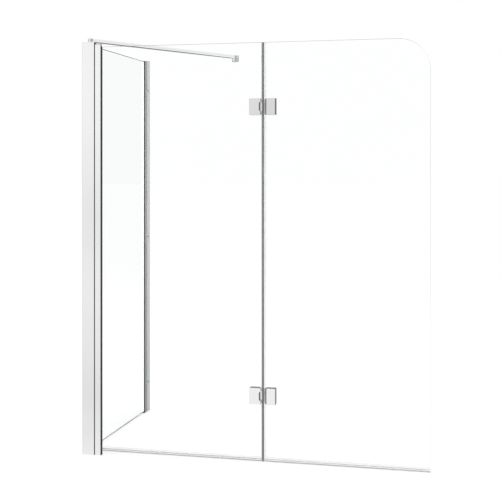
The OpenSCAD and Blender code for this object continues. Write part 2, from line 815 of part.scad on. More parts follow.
wall_profile();
wall_profile_cap();
side_adjust_profile();
side_adjust_cap();
side_wall_gaskets();
side_adjust_screws();
side_glass();
side_post_gaskets();
side_glass_blocks();
corner_post();
post_cap();
post_cap_screws();
post_mouth_seals();
bar_post_pivot();
front_adjust_profile();
front_adjust_cap();
front_gaskets();
front_glass_block();
front_adjust_screws();
fixed_glass();
fixed_drip_seal();
color("silver") at_hinge(upper_z) outer_plate(-fixed_plate_near, true);  // upper_fixed_outer_plate
color("silver") at_hinge(upper_z) fixed_inner_plate();  // upper_fixed_inner_plate
color("silver") at_hinge(lower_z) outer_plate(-fixed_plate_near, true);  // lower_fixed_outer_plate
color("silver") at_hinge(lower_z) fixed_inner_plate();  // lower_fixed_inner_plate
color("dimgray") hinge_pads(-plate_reach + pad_inset, -fixed_pad_near);  // fixed_hinge_pads
color("white") hinge_sleeves(fixed_clamp_x);  // fixed_hinge_sleeves
color("silver") hinge_screws(fixed_clamp_x);  // fixed_hinge_screws
color("silver") at_hinge(upper_z) hinge_pin();  // upper_hinge_pin
color("silver") at_hinge(lower_z) hinge_pin();  // lower_hinge_pin
folding_glass();
folding_drip_seal();
fold_seal();
color("silver") at_hinge(upper_z) outer_plate(fold_plate_near, false);  // upper_folding_outer_plate
color("silver") at_hinge(upper_z) folding_inner_plate();  // upper_folding_inner_plate
color("silver") at_hinge(lower_z) outer_plate(fold_plate_near, false);  // lower_folding_outer_plate
color("silver") at_hinge(lower_z) folding_inner_plate();  // lower_folding_inner_plate
color("dimgray") hinge_pads(fold_pad_near, plate_reach - pad_inset);  // folding_hinge_pads
color("white") hinge_sleeves(fold_clamp_x);  // folding_hinge_sleeves
color("silver") hinge_screws(fold_clamp_x);  // folding_hinge_screws
hinge_bushes();
bar_tube();
color("silver") at_post_pivot() barrel();  // bar_post_barrel
color("silver") at_wall_pivot() barrel();  // bar_wall_barrel
color("silver") {  // bar_grub_screws
    at_post_pivot() grub_screw();
    at_wall_pivot() grub_screw();
}
wall_bracket();
bar_wall_pivot();
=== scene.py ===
import json
import math

import bmesh
import bpy
from mathutils import Matrix, Vector


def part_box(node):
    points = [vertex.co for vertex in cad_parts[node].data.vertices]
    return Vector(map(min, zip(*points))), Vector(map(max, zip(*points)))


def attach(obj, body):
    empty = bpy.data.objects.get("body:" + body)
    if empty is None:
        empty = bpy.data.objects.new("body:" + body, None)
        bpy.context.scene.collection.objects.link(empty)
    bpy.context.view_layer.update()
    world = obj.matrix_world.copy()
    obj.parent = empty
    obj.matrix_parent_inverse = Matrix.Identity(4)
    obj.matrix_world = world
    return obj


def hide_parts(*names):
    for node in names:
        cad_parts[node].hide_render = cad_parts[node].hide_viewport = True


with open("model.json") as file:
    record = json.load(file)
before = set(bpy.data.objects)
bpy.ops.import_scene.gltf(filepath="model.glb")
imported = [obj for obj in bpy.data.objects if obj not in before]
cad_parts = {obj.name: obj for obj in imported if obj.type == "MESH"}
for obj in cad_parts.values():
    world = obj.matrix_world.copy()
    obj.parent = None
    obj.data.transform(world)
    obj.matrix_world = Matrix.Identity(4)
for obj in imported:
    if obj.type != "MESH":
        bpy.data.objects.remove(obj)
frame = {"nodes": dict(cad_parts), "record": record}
nodes = frame["nodes"]
record = frame["record"]
bodyOf = {node: body for body, members in record["behaviour"]["bodies"].items() for node in members}
slotOf = {entry["node"]: entry["material_slot"] for entry in record["subparts"]}
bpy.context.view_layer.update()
mm = 0.001
print("frame read:", len(nodes), "nodes")


# A wire is an output socket, and sums on wires become Math nodes
class Wire:
    def __init__(self, recipe, socket):
        self.recipe = recipe
        self.socket = socket

    def sum(self, operation, first, second):
        return self.recipe.wire("Math", {"operation": operation}, {0: first, 1: second})

    def __add__(self, other):
        return self.sum("ADD", self, other)

    def __radd__(self, other):
        return self.sum("ADD", other, self)

    def __sub__(self, other):
        return self.sum("SUBTRACT", self, other)

    def __rsub__(self, other):
        return self.sum("SUBTRACT", other, self)

    def __mul__(self, other):
        return self.sum("MULTIPLY", self, other)

    def __rmul__(self, other):
        return self.sum("MULTIPLY", other, self)


class Recipe:
    def __init__(self, owner):
        owner.use_nodes = True
        self.owner = owner
        self.tree = owner.node_tree
        self.tree.nodes.clear()

    def node(self, kind, settings=None, values=None):
        made = self.tree.nodes.new("ShaderNode" + kind)
        for key, value in (settings or {}).items():
            if key == "stops":
                ramp = made.color_ramp
                for place, tone in value[2:]:
                    ramp.elements.new(place)
                for element, (place, tone) in zip(ramp.elements, sorted(value)):
                    element.position = place
                    element.color = (tone, tone, tone, 1)
            else:
                setattr(made, key, value)
        for key, value in (values or {}).items():
            if isinstance(value, Wire):
                self.tree.links.new(value.socket, made.inputs[key])
            else:
                made.inputs[key].default_value = value
        return made

    def wire(self, kind, settings=None, values=None, out=0):
        return Wire(self, self.node(kind, settings, values).outputs[out])

    def noise(self, scale, stretch=(1, 1, 1), detail=2.0, turn=0.0):
        place = self.wire("TexCoord", out="Object")
        laid = self.wire("Mapping", None, {"Vector": place, "Rotation": (0, 0, turn), "Scale": stretch})
        return self.wire("TexNoise", None, {"Vector": laid, "Scale": scale, "Detail": detail})

    def blend(self, share, first, second):
        return self.wire("Mix", {"data_type": "RGBA"}, {0: share, 6: (*first, 1), 7: (*second, 1)}, out=2)

    def bump(self, height, strength, distance):
        values = {"Height": height, "Strength": strength, "Distance": distance}
        return self.wire("Bump", None, values, out="Normal")

    def surface(self, **values):
        shown = {key.replace("_", " "): value for key, value in values.items()}
        shader = self.wire("BsdfPrincipled", None, shown)
        self.node("OutputMaterial", None, {"Surface": shader})
        return self.owner


def newRecipe(name):
    return Recipe(bpy.data.materials.new(name))


bumpDepth = 0.0001      # metres, for the finest lines on every finish
plasticGrain = 0.12     # how far a plastic's roughness varies


def metalFinish(name, look):
    recipe = newRecipe(name)
    drawn = recipe.noise(look["lines"], look["stretch"], 3.0, look.get("turn", 0.0))
    wiped = recipe.noise(look["smudges"], (1, 1, 1), 4.0)
    rough = look["roughness"] + (drawn - 0.5) * look["lineRoughness"]
    rough = rough + (wiped - 0.5) * look["smudgeRoughness"]
    tone = recipe.blend(wiped, look["dark"], look["light"])
    # glow makes a finish shine by itself: painted light
    return recipe.surface(Base_Color=tone, Metallic=look.get("metallic", 1.0), Roughness=rough,
                          Emission_Color=tone, Emission_Strength=look.get("glow", 0.0),
                          Normal=recipe.bump(drawn, look["lineDepth"], bumpDepth))


def plasticFinish(name, look):
    recipe = newRecipe(name)
    drawn = recipe.noise(look["lines"], look["stretch"], 2.0)
    cloudy = recipe.noise(look["clouds"], (1, 1, 1), 3.0)
    tone = recipe.blend(cloudy, look["dark"], look["light"])
    # glow makes a finish shine by itself: painted light
    return recipe.surface(Base_Color=tone, Roughness=look["roughness"] + (drawn - 0.5) * plasticGrain,
                          Alpha=look.get("cover", 1.0), Specular_IOR_Level=look.get("gloss", 0.5),
                          Emission_Color=tone, Emission_Strength=look.get("glow", 0.0),
                          Normal=recipe.bump(drawn, look["lineDepth"], bumpDepth))


def glassFinish(name, look):
    recipe = newRecipe(name)
    wiped = recipe.noise(look["wipes"], (1, 1, 0.35), 3.0)
    tone = recipe.blend(wiped, look["dark"], look["light"])
    return recipe.surface(Base_Color=tone, Roughness=look["roughness"], IOR=look["bend"],
                          Transmission_Weight=1.0)


# Finishes named as the record's slots, and others for pieces that look different from their slot
metalLooks = {
    "satin_aluminium": {"lines": 2400.0, "stretch": (1, 1, 0.002), "smudges": 9.0, "roughness": 0.15,
                        "lineRoughness": 0.06, "smudgeRoughness": 0.05, "lineDepth": 0.04,
                        "dark": (0.86, 0.86, 0.865), "light": (0.90, 0.90, 0.905)},
    "wallAluminium": {"lines": 2400.0, "stretch": (1, 1, 0.002), "smudges": 9.0, "roughness": 0.45,
                      "lineRoughness": 0.06, "smudgeRoughness": 0.05, "lineDepth": 0.04, "metallic": 0.6,
                      "dark": (0.88, 0.88, 0.885), "light": (0.93, 0.93, 0.935)},
    # a darker copy of the wall aluminium for the side adjusting profile: painted shade where the wall profile
    # shades it
    "innerAluminium": {"lines": 2400.0, "stretch": (1, 1, 0.002), "smudges": 9.0, "roughness": 0.45,
                       "lineRoughness": 0.06, "smudgeRoughness": 0.05, "lineDepth": 0.04, "metallic": 0.6,
                       "dark": (0.50, 0.50, 0.505), "light": (0.54, 0.54, 0.545)},
    "cap_metal": {"lines": 500.0, "stretch": (1, 1, 1), "smudges": 40.0, "roughness": 0.25,
                  "lineRoughness": 0.10, "smudgeRoughness": 0.08, "lineDepth": 0.08,
                  "dark": (0.87, 0.87, 0.88), "light": (0.92, 0.92, 0.93)},
    "chrome": {"lines": 260.0, "stretch": (1, 1, 1), "smudges": 30.0, "roughness": 0.07,
               "lineRoughness": 0.02, "smudgeRoughness": 0.04, "lineDepth": 0.01,
               "dark": (0.87, 0.87, 0.875), "light": (0.91, 0.91, 0.915)},
    # lighter and glowing a little: painted light on the knuckles seen in the fold's gap
    "hingeBarrel": {"lines": 260.0, "stretch": (1, 1, 1), "smudges": 30.0, "roughness": 0.35,
                    "lineRoughness": 0.04, "smudgeRoughness": 0.04, "lineDepth": 0.02, "metallic": 0.4,
                    "glow": 0.26, "dark": (0.90, 0.90, 0.905), "light": (0.95, 0.95, 0.955)},
    "steel": {"lines": 900.0, "stretch": (1, 1, 1), "smudges": 120.0, "roughness": 0.28,
              "lineRoughness": 0.16, "smudgeRoughness": 0.10, "lineDepth": 0.15,
              "dark": (0.70, 0.70, 0.71), "light": (0.82, 0.82, 0.83)},
}
plasticLooks = {
    "gasket": {"lines": 700.0, "stretch": (1, 1, 0.01), "clouds": 25.0, "roughness": 0.55,
               "lineDepth": 0.3, "gloss": 0.2,
               "dark": (0.042, 0.042, 0.043), "light": (0.056, 0.056, 0.058)},
    # a pale, glowing copy of the black gasket: painted light on the side wall gaskets' second half
    "paleGasket": {"lines": 700.0, "stretch": (1, 1, 0.01), "clouds": 25.0, "roughness": 0.4,
                   "lineDepth": 0.2, "gloss": 0.4, "glow": 0.5,
                   "dark": (0.78, 0.79, 0.79), "light": (0.84, 0.85, 0.85)},
    # black rubber, made much darker than the other gaskets: partly its own colour, partly painted shade in
    # the post's mouth
    "mouthSeal": {"lines": 700.0, "stretch": (1, 1, 0.01), "clouds": 25.0, "roughness": 0.55,
                  "lineDepth": 0.3, "gloss": 0.1,
                  "dark": (0.014, 0.014, 0.015), "light": (0.022, 0.022, 0.024)},
    "hingePad": {"lines": 500.0, "stretch": (1, 1, 1), "clouds": 40.0, "roughness": 0.5,
                 "lineDepth": 0.2, "gloss": 0.3,
                 "dark": (0.19, 0.19, 0.195), "light": (0.24, 0.24, 0.245)},
    "clear_seal": {"lines": 500.0, "stretch": (0.01, 1, 1), "clouds": 30.0, "roughness": 0.2,
                   "lineDepth": 0.05, "cover": 0.09,
                   "dark": (0.66, 0.68, 0.68), "light": (0.74, 0.76, 0.76)},
    # a darker grey, only on the ends of the drip seals' fins
    "sealFin": {"lines": 500.0, "stretch": (0.01, 1, 1), "clouds": 30.0, "roughness": 0.3,
                "lineDepth": 0.1, "cover": 0.30, "gloss": 0.3,
                "dark": (0.22, 0.225, 0.23), "light": (0.30, 0.305, 0.31)},
    "grey_seal": {"lines": 600.0, "stretch": (1, 1, 0.01), "clouds": 30.0, "roughness": 0.4,
                  "lineDepth": 0.1, "gloss": 0.3,
                  "dark": (0.20, 0.20, 0.205), "light": (0.25, 0.25, 0.255)},
    "nylon": {"lines": 300.0, "stretch": (1, 1, 1), "clouds": 60.0, "roughness": 0.5,
              "lineDepth": 0.1,
              "dark": (0.78, 0.78, 0.76), "light": (0.85, 0.85, 0.83)},
    "block": {"lines": 500.0, "stretch": (1, 1, 1), "clouds": 60.0, "roughness": 0.5,
              "lineDepth": 0.2,
              "dark": (0.03, 0.03, 0.032), "light": (0.05, 0.05, 0.053)},
    # a dark grey copy for the front adjusting profile's cap, whose slot is cap_metal: painted shade for the
    # shadow line at the profile's top
    "frontPlug": {"lines": 500.0, "stretch": (1, 1, 1), "clouds": 60.0, "roughness": 0.5,
                  "lineDepth": 0.2,
                  "dark": (0.17, 0.17, 0.173), "light": (0.21, 0.21, 0.214)},
}
glassLooks = {
    "clear_glass": {"wipes": 3.0, "roughness": 0.0, "bend": 1.045,
                    "dark": (0.985, 0.992, 0.990), "light": (0.992, 0.997, 0.995)},
    # near-black edges: painted dark reflection in the panes' edges
    "glassEdge": {"wipes": 60.0, "roughness": 0.18, "bend": 1.4,
                  "dark": (0.020, 0.026, 0.024), "light": (0.030, 0.036, 0.034)},
}
# the bar's drawn lines run along it
barLook = dict(metalLooks["chrome"], stretch=(0.02, 1, 1), turn=-math.radians(62.5), lineDepth=0.03)
finishes = {name: metalFinish(name, look) for name, look in metalLooks.items()}
finishes.update({name: plasticFinish(name, look) for name, look in plasticLooks.items()})
finishes.update({name: glassFinish(name, look) for name, look in glassLooks.items()})
finishes["barChrome"] = metalFinish("barChrome", barLook)
finishOf = dict(slotOf, wall_profile="wallAluminium", side_adjust_profile="innerAluminium",
                front_adjust_cap="frontPlug", fixed_hinge_pads="hingePad", folding_hinge_pads="hingePad",
                **{node: "hingeBarrel" for node in slotOf if node.endswith("_inner_plate")})
print("finishes made:", len(finishes))


def linked(name, mesh):
    made = bpy.data.objects.new(name, mesh)
    bpy.context.scene.collection.objects.link(made)
    return made


def settle(made):
    # modifiers are turned into a plain mesh
    bpy.context.view_layer.update()
    shown = made.evaluated_get(bpy.context.evaluated_depsgraph_get())
    plain = bpy.data.meshes.new_from_object(shown)
    name = made.name
    bpy.data.objects.remove(made)
    plain.name = name
    return linked(name, plain)


def smooth(mesh, degrees):
    for face in mesh.polygons:
        face.use_smooth = True
    mesh.set_sharp_from_angle(angle=math.radians(degrees))


def dress(made, node, *materials):
    made.data.materials.clear()
    for material in materials:
        made.data.materials.append(material)
    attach(made, bodyOf[node])
    return made


easing = {"segments": 2, "sharpest": 38, "flatWithin": 0.6, "smoothWithin": 32}


def softened(node, width, name, material):
    # a merged copy of a node with its hard edges rounded
    mesh = nodes[node].data.copy()
    work = bmesh.new()
    work.from_mesh(mesh)
    bmesh.ops.remove_doubles(work, verts=work.verts, dist=1e-6)
    bmesh.ops.dissolve_limit(work, angle_limit=math.radians(easing["flatWithin"]),
                             verts=work.verts, edges=work.edges)
    work.to_mesh(mesh)
    work.free()
    smooth(mesh, easing["smoothWithin"])
    made = linked(name, mesh)
    bevel = made.modifiers.new("round", "BEVEL")
    bevel.width = width * mm
    bevel.segments = easing["segments"]
    bevel.limit_method = "ANGLE"
    bevel.angle_limit = math.radians(easing["sharpest"])
    bevel.use_clamp_overlap = True
    flat = made.modifiers.new("flat", "WEIGHTED_NORMAL")
    flat.keep_sharp = True
    flat.weight = 100
    made = settle(made)
    dress(made, node, material)
    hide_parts(node)
    return made


def revolved(name, rings, segments):
    # rings of (radius, height, six-sided) round Z, from one pole to the other
    work = bmesh.new()
    loops = []
    for radius, height, six in rings:
        if radius == 0:
            loops.append([work.verts.new((0, 0, height))])
            continue
        loop = []
        for step in range(segments):
            angle = 2 * math.pi * step / segments
            reach = radius
            if six:
                reach = radius / math.cos((angle + math.pi / 6) % (math.pi / 3) - math.pi / 6)
            loop.append(work.verts.new((reach * math.cos(angle), reach * math.sin(angle), height)))
        loops.append(loop)
    for low, high in zip(loops, loops[1:]):
        for step in range(segments):
            after = (step + 1) % segments
            corners = [low[step % len(low)], low[after % len(low)],
                       high[after % len(high)], high[step % len(high)]]
            corners = [c for k, c in enumerate(corners) if c not in corners[:k]]
            work.faces.new(corners)
    bmesh.ops.recalc_face_normals(work, faces=work.faces)
    mesh = bpy.data.meshes.new(name)
    work.to_mesh(mesh)
    work.free()
    smooth(mesh, easing["smoothWithin"])
    return mesh


def newTree(name, wanted):
    tree = bpy.data.node_groups.new(name, "GeometryNodeTree")
    tree.interface.new_socket("Geometry", in_out="INPUT", socket_type="NodeSocketGeometry")
    for label, kind in wanted.items():
        tree.interface.new_socket(label, in_out="INPUT", socket_type="NodeSocket" + kind)
    tree.interface.new_socket("Geometry", in_out="OUTPUT", socket_type="NodeSocketGeometry")
    return tree, tree.nodes.new("NodeGroupInput"), tree.nodes.new("NodeGroupOutput")


def join(tree, *pairs):
    for source, target in pairs:
        tree.links.new(source, target)


def endTree(tree, given, shape, last):
    real = tree.nodes.new("GeometryNodeRealizeInstances")
    paint = tree.nodes.new("GeometryNodeSetMaterial")
    join(tree, (shape, real.inputs[0]), (real.outputs[0], paint.inputs["Geometry"]),
         (given.outputs["Finish"], paint.inputs["Material"]), (paint.outputs[0], last.inputs[0]))


def makeSweepTree():
    # the profile curve it sits on is drawn along a straight edge
    tree, given, last = newTree("drawnAlongEdge", {"Start": "Vector", "End": "Vector", "Finish": "Material"})
    edge = tree.nodes.new("GeometryNodeCurvePrimitiveLine")
    drawn = tree.nodes.new("GeometryNodeCurveToMesh")
    drawn.inputs["Fill Caps"].default_value = True
    join(tree, (given.outputs["Start"], edge.inputs["Start"]), (given.outputs["End"], edge.inputs["End"]),
         (edge.outputs[0], drawn.inputs["Curve"]), (given.outputs["Geometry"], drawn.inputs["Profile Curve"]))
    endTree(tree, given, drawn.outputs[0], last)
    return tree


def makeScrewTree():
    # a screw on each point, every one stopped at another turn of its socket
    tree, given, last = newTree("screwsOnPoints", {"Screw": "Object", "Lean": "Vector", "Seed": "Int",
                                                   "Finish": "Material"})
    screw = tree.nodes.new("GeometryNodeObjectInfo")
    put = tree.nodes.new("GeometryNodeInstanceOnPoints")
    turn = tree.nodes.new("GeometryNodeRotateInstances")
    chance = tree.nodes.new("FunctionNodeRandomValue")
    spin = tree.nodes.new("ShaderNodeCombineXYZ")
    chance.data_type = "FLOAT"
    chance.inputs[3].default_value = 2 * math.pi
    join(tree, (given.outputs["Screw"], screw.inputs["Object"]),
         (given.outputs["Geometry"], put.inputs["Points"]),
         (screw.outputs["Geometry"], put.inputs["Instance"]),
         (given.outputs["Lean"], put.inputs["Rotation"]),
         (given.outputs["Seed"], chance.inputs["Seed"]), (chance.outputs[1], spin.inputs["Z"]),
         (put.outputs[0], turn.inputs["Instances"]), (spin.outputs[0], turn.inputs["Rotation"]))
    endTree(tree, given, turn.outputs[0], last)
    return tree


def grow(made, tree, values):
    grown = made.modifiers.new(tree.name, "NODES")
    grown.node_group = tree
    for item in tree.interface.items_tree:
        if item.in_out == "INPUT" and item.name in values:
            grown[item.identifier] = values[item.name]
    return settle(made)


sweepTree = makeSweepTree()
screwTree = makeScrewTree()


def swept(name, outline, start, end, material):
    # outline is counterclockwise, in millimetres: X and Y for an upright edge, Y and Z for one along X
    upright = abs(end[2] - start[2]) > abs(end[0] - start[0])
    sign = 1 if upright else -1
    curve = bpy.data.curves.new(name, "CURVE")
    curve.dimensions = "3D"
    line = curve.splines.new("POLY")
    line.points.add(len(outline) - 1)
    for point, (a, b) in zip(line.points, outline):
        point.co = (sign * a * mm, sign * b * mm, 0, 1)
    line.use_cyclic_u = True
    values = {"Start": [c * mm for c in start], "End": [c * mm for c in end], "Finish": material}
    return grow(linked(name, curve), sweepTree, values)


def joined(name, pieces):
    bpy.ops.object.select_all(action="DESELECT")
    for piece in pieces:
        piece.select_set(True)
    bpy.context.view_layer.objects.active = pieces[0]
    bpy.ops.object.join()
    pieces[0].name = name
    pieces[0].data.name = name
    return pieces[0]


def arc(x, y, radius, start, end, steps):
    angles = [math.radians(start + (end - start) * k / steps) for k in range(steps + 1)]
    return [(x + radius * math.cos(angle), y + radius * math.sin(angle)) for angle in angles]


def mirrored(outline):
    return [(x, -y) for x, y in reversed(outline)]


def turnedToSide(outline):
    # from a section along the front to one along the side
    return [(y, -x) for x, y in outline]


paneLook = {"thickness": 6.0, "arris": 1.5, "arrisFrom": 50, "smoothWithin": 25, "cornerRadius": 100.0,
            "cornerSteps": 28, "holeSteps": 32}


def pane(node, name, outline, holes, alongX):
    half, steps = paneLook["thickness"] / 2, paneLook["holeSteps"]
    work = bmesh.new()
    edges = []
    for loop in [outline] + [arc(x, z, radius, 0, 360 - 360 / steps, steps - 1) for x, z, radius in holes]:
        verts = [work.verts.new((a * mm, -half * mm, z * mm) if alongX else (half * mm, a * mm, z * mm))
                 for a, z in loop]
        edges += [work.edges.new((verts[k - 1], verts[k])) for k in range(len(verts))]
    bmesh.ops.triangle_fill(work, edges=edges, use_beauty=True)
    bmesh.ops.dissolve_limit(work, angle_limit=0.01, verts=work.verts, edges=work.edges)
    grown = bmesh.ops.extrude_face_region(work, geom=list(work.faces))["geom"]
    shift = Vector((0, 2 * half * mm, 0)) if alongX else Vector((-2 * half * mm, 0, 0))
    bmesh.ops.translate(work, verts=[v for v in grown if isinstance(v, bmesh.types.BMVert)], vec=shift)
    bmesh.ops.recalc_face_normals(work, faces=work.faces)
    mesh = bpy.data.meshes.new(name)
    work.to_mesh(mesh)
    work.free()
    made = linked(name, mesh)
    bevel = made.modifiers.new("arris", "BEVEL")
    bevel.width = paneLook["arris"] * mm
    bevel.segments = 1
    bevel.limit_method = "ANGLE"
    bevel.angle_limit = math.radians(paneLook["arrisFrom"])
    made = settle(made)
    smooth(made.data, paneLook["smoothWithin"])
    # the panes' edges take the near-black finish, a painted dark reflection
    dress(made, node, finishes["clear_glass"], finishes["glassEdge"])
    for face in made.data.polygons:
        # the fixed pane's edge in the fold's gap stays clear as well
        clear = abs(face.normal[1 if alongX else 0]) > 0.99 or (node == "fixed_glass" and face.normal.x > 0.5)
        face.material_index = 0 if clear else 1
    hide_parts(node)
    return made


def boxOf(node):
    low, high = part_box(node)
    return [c / mm for c in low], [c / mm for c in high]


def hingeFromFrame():
    # the clamping screws' boxes give the levels, the sides and the depth
    found = {"headR": 6.0, "pitch": 30.0, "glassHole": 6.3, "knuckle": 10.5}
    for side in ("fixed", "folding"):
        low, high = boxOf(side + "_hinge_screws")
        found[side] = (low[0] + high[0]) / 2
        found["seat"] = high[1]
        found["depth"] = high[1] - low[1]
    fold = next(joint for joint in record["behaviour"]["joints"] if joint["name"] == "leaf_fold")
    found["axis"] = fold["pos_m"][0]
    inset = found["headR"] + found["pitch"] / 2
    found["levels"] = (low[2] + inset, high[2] - inset)
    return found


hinge = hingeFromFrame()


def clampHoles(side):
    return [(hinge[side], level + turn * hinge["pitch"] / 2, hinge["glassHole"])
            for level in hinge["levels"] for turn in (-1, 1)]


def makeGlass():
    low, high = boxOf("fixed_glass")
    outline = [(low[0], low[2]), (high[0], low[2]), (high[0], high[2]), (low[0], high[2])]
    pane("fixed_glass", "fixedPane", outline, clampHoles("fixed"), True)
    low, high = boxOf("folding_glass")
    radius = paneLook["cornerRadius"]
    corner = arc(high[0] - radius, high[2] - radius, radius, 0, 90, paneLook["cornerSteps"])
    outline = [(low[0], low[2]), (high[0], low[2])] + corner + [(low[0], high[2])]
    pane("folding_glass", "foldingPane", outline, clampHoles("folding"), True)
    low, high = boxOf("side_glass")
    outline = [(low[1], low[2]), (high[1], low[2]), (high[1], high[2]), (low[1], high[2])]
    pane("side_glass", "sidePane", outline, [], False)
    print("glass: three panes")


sealLook = {"glass": 3.0, "wall": 1.2, "floor": 1.5, "finWidth": 0.9, "finDrop": 6.0, "tinted": 3.4,
            "barb": 0.4, "grip": 6.8, "bulbRadius": 3.4, "bulbWall": 0.8, "bulbGap": 0.5, "hingeCut": 30.0}
gasketLook = {"glass": 3.0, "pocket": 5.5, "flange": 1.0, "reach": 7.0, "groove": 0.3, "grooveAt": (2.0, 6.0)}
mouthLook = {"near": 7.3, "lip": 0.6, "step": 0.6}


def dripOutlines(bottom, top):
    # a clip with barbs on the glass, and a rib under it with two fins that lean apart, in Y and Z
    half, wall, barb = sealLook["glass"], sealLook["wall"], sealLook["barb"]
    under, darkTop = bottom + sealLook["finDrop"], bottom + sealLook["tinted"]
    seat, tip = under + sealLook["floor"], sealLook["finWidth"]
    clip = [(half + wall, under + 0.5), (half + wall, top - 1.2), (half + wall - 0.5, top - 0.2),
            (half + 0.5, top), (half, top - 0.8), (half, top - 3.0), (half + barb, top - 3.4),
            (half, top - 4.4), (half, seat + 0.3), (half - 0.3, seat)]
    fin = [(0.9, under), (half - tip, under - 0.3), (half - 0.5, darkTop), (half, bottom), (half + tip, bottom),
           (half + 0.6, darkTop), (half + 0.4, under - 0.4), (half + wall, under + 0.5)]
    return clip + [(-y, z) for y, z in reversed(clip)], fin + [(-y, z) for y, z in reversed(fin)]


def gasketOutline(inner, outer, lip):
    # a wedge from the glass to the pocket wall, with a flange over the profile's end and two shallow grooves
    glass, pocket, flange, reach = (gasketLook[key] for key in ("glass", "pocket", "flange", "reach"))
    edge = outer + lip
    outline = [(inner, glass), (edge - 0.5, glass), (edge - 0.55, glass + 0.4), (edge - 0.75, glass + 0.75),
               (outer + flange + 0.1, reach - 0.45), (outer + flange - 0.25, reach), (outer, reach),
               (outer, pocket)]
    for back in gasketLook["grooveAt"]:
        outline += [(outer - back, pocket), (outer - back - 0.4, pocket - gasketLook["groove"]),
                    (outer - back - 0.8, pocket)]
    return outline + [(inner, pocket)]


def finishPiece(made, node, angle=40):
    # the drawn piece takes over from its node
    smooth(made.data, angle)
    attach(made, bodyOf[node])
    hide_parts(node)
    return made


def uprightPair(node, name, outline, mirror, looks=("gasket", "gasket")):
    low, high = boxOf(node)
    pair = [swept(name + str(k), shape, (0, 0, low[2]), (0, 0, high[2]), finishes[looks[k]])
            for k, shape in enumerate((outline, mirror(outline)))]
    finishPiece(joined(name, pair), node)


def acrossX(outline):
    return [(-x, y) for x, y in reversed(outline)]


def makeSeals():
    for node, name in (("fixed_drip_seal", "fixedDripSeal"), ("folding_drip_seal", "foldingDripSeal")):
        low, high = boxOf(node)
        clip, fins = dripOutlines(low[2], high[2])
        parts = [swept(name + part, outline, (low[0], 0, 0), (high[0], 0, 0), finishes[look])
                 for part, outline, look in (("Clip", clip, "clear_seal"), ("Fins", fins, "sealFin"))]
        made = finishPiece(joined(name, parts), node)
        # only the fins' ends are darker
        for face in made.data.polygons:
            if face.center.z > (low[2] + sealLook["tinted"] + 0.1) * mm:
                face.material_index = 0
    low, high = boxOf("front_gaskets")
    mouth = boxOf("front_adjust_profile")[1][0]
    outline = gasketOutline(low[0], mouth, high[0] - mouth)
    uprightPair("front_gaskets", "frontGaskets", outline, mirrored)
    low, high = boxOf("side_wall_gaskets")
    mouth = boxOf("side_adjust_profile")[0][1]
    outline = turnedToSide(gasketOutline(-high[1], -mouth, mouth - low[1]))
    # the second gasket takes the pale glowing finish: painted light
    uprightPair("side_wall_gaskets", "sideWallGaskets", outline, acrossX, ("gasket", "paleGasket"))
    low, high = boxOf("side_post_gaskets")
    mouth = boxOf("corner_post")[1][1]
    outline = [(x, y) for y, x in reversed(gasketOutline(low[1], mouth, high[1] - mouth))]
    uprightPair("side_post_gaskets", "sidePostGaskets", outline, acrossX)
    low, high = boxOf("post_mouth_seals")
    near, face = mouthLook["near"], high[0] - mouthLook["lip"]
    back = face - mouthLook["step"]
    strip = [(low[0], near), (back, near), (face, near + 0.2), (face, near + 0.7), (back, high[1]),
             (low[0], high[1])]
    uprightPair("post_mouth_seals", "postMouthSeals", strip, mirrored, ("mouthSeal", "mouthSeal"))
    print("seals and gaskets drawn")


def bulbOutline(x, radius, wall):
    # a ring cut open by a hair's breadth on the web's side, so that one outline can draw it
    outer = arc(x, 0, radius, 2, 358, 40)
    inner = arc(x, 0, radius - wall, 357, 3, 32)
    return outer + inner


def makeFoldSeal():
    # a hollow bulb against the fixed glass runs past the hinges; the clip on the glass is cut out there
    low, high = boxOf("fold_seal")
    edge = boxOf("folding_glass")[0][0]
    web = edge - sealLook["floor"]
    bulbX = boxOf("fixed_glass")[1][0] + sealLook["bulbGap"] + sealLook["bulbRadius"]
    ring = bulbOutline(bulbX, sealLook["bulbRadius"], sealLook["bulbWall"])
    half, grip, wall = sealLook["glass"], sealLook["grip"], sealLook["wall"]
    spine = [(web, -half), (edge, -half), (edge, half), (web, half)]
    pieces = [swept("bulb", ring, (0, 0, low[2]), (0, 0, high[2]), finishes["grey_seal"]),
              swept("spine", spine, (0, 0, low[2]), (0, 0, high[2]), finishes["grey_seal"])]
    leg = [(web, half), (edge + grip, half), (edge + grip + 1.2, half + 0.5), (edge + grip + 0.6, half + 1.0),
           (edge + grip - 1.8, half + wall), (web + 0.3, half + wall), (web, half + wall - 0.3)]
    cut = sealLook["hingeCut"]
    lower, upper = hinge["levels"]
    gripTop = boxOf("folding_drip_seal")[1][2] + 0.3
    spans = ((gripTop, lower - cut), (lower + cut, upper - cut), (upper + cut, high[2]))
    for k, (bottom, top) in enumerate(spans):
        pieces += [swept("leg%d%d" % (k, n), shape, (0, 0, bottom), (0, 0, top), finishes["clear_seal"])
                   for n, shape in enumerate((leg, mirrored(leg)))]
    finishPiece(joined("foldSeal", pieces), "fold_seal")
    print("fold seal drawn")


# sizes of each kind of screw in millimetres, and what all of them share
screwLook = {"headEdge": 0.4, "threadPitch": 0.7, "threadDepth": 0.25, "point": 0.5, "plain": 1.0,
             "socketEdge": 0.25, "socketDepth": 0.6, "sides": 36,
             "adjust": {"radius": 2.0, "length": 7.8, "headR": 4.0, "headH": 2.2, "socket": 1.2},
             "clamp": {"radius": 3.0, "headH": 3.0, "socket": 2.0},
             "cap": {"radius": 1.9, "headR": 3.6, "headH": 1.8, "socket": 1.2}}


def threadRings(radius, low, high):
    rings = []
    steps = int((high - low) / (screwLook["threadPitch"] / 2))
    for k in range(steps + 1):
        groove = screwLook["threadDepth"] if k % 2 else 0
        rings.append((radius - groove, low + (high - low) * k / steps, False))
    return rings


def socketRings(size, top, depth):
    edge = screwLook["socketEdge"]
    return [(size + edge, top, False), (size, top - edge, True), (size, top - depth, True),
            (0, top - depth, False)]


